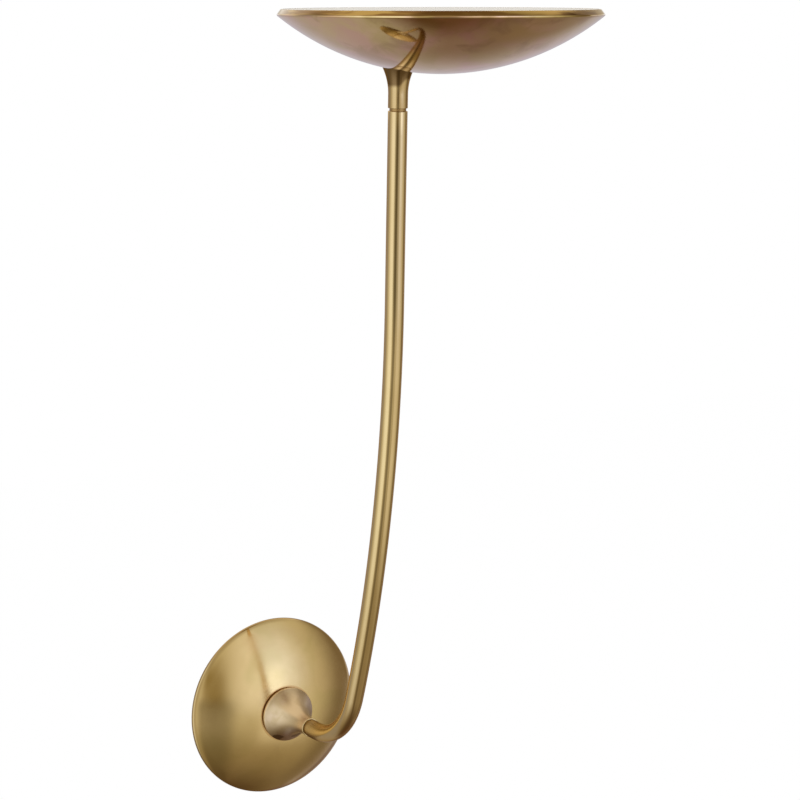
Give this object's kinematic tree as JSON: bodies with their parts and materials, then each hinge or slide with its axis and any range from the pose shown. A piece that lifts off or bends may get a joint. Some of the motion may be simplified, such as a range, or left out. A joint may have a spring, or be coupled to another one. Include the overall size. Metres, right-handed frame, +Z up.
{
  "type": "wall sconce",
  "caption": "Wall sconce: a shallow spun brass bowl facing up, with an opal disc, on a long bent brass tube rising from a trumpet hub on a domed round canopy.",
  "frame": {"origin": "centre of the mounting strap on the wall plane, where the stem's axis meets the wall", "axes": "+Y into the wall, so the light stands out along -Y; +Z up; +X to the right seen from the room"},
  "size_m": [0.203, 0.334, 0.5855],
  "materials": {
    "polished_brass": "polished, lacquered",
    "satin_brass": "satin, turned",
    "turned_brass": "turned",
    "zinc_steel": "zinc plated",
    "earth_green": "dyed zinc plate",
    "aluminium": "mill",
    "board_white": "white solder mask",
    "chip_yellow": "phosphor",
    "opal": "satin opal acrylic",
    "ivory_plastic": "moulded",
    "dark_plastic": "moulded",
    "red_insulation": "extruded",
    "black_insulation": "extruded"
  },
  "bodies": {
    "root": {"canopy": "polished_brass", "mounting_strap": "zinc_steel", "earth_screw": "earth_green", "stem": "zinc_steel", "stem_lock_washer": "zinc_steel", "stem_lock_nut": "zinc_steel", "hub": "satin_brass", "neck_ring": "satin_brass", "arm_foot_insert": "turned_brass", "arm_tube": "polished_brass", "arm_head_insert": "turned_brass", "coupler": "satin_brass", "dish": "polished_brass", "dish_nipple": "zinc_steel", "dish_saddle": "aluminium", "dish_lock_washer": "zinc_steel", "dish_lock_nut": "zinc_steel", "nipple_bushing": "ivory_plastic", "plate_posts": "aluminium", "heat_plate": "aluminium", "plate_screws": "zinc_steel", "light_board": "board_white", "light_chips": "chip_yellow", "board_screws": "zinc_steel", "board_terminal": "ivory_plastic", "diffuser_ledge": "aluminium", "diffuser": "opal", "driver_case": "dark_plastic", "driver_lid": "dark_plastic", "driver_screws": "zinc_steel", "supply_terminal": "ivory_plastic", "lead_red": "red_insulation", "lead_black": "black_insulation"}
  },
  "joints": []
}
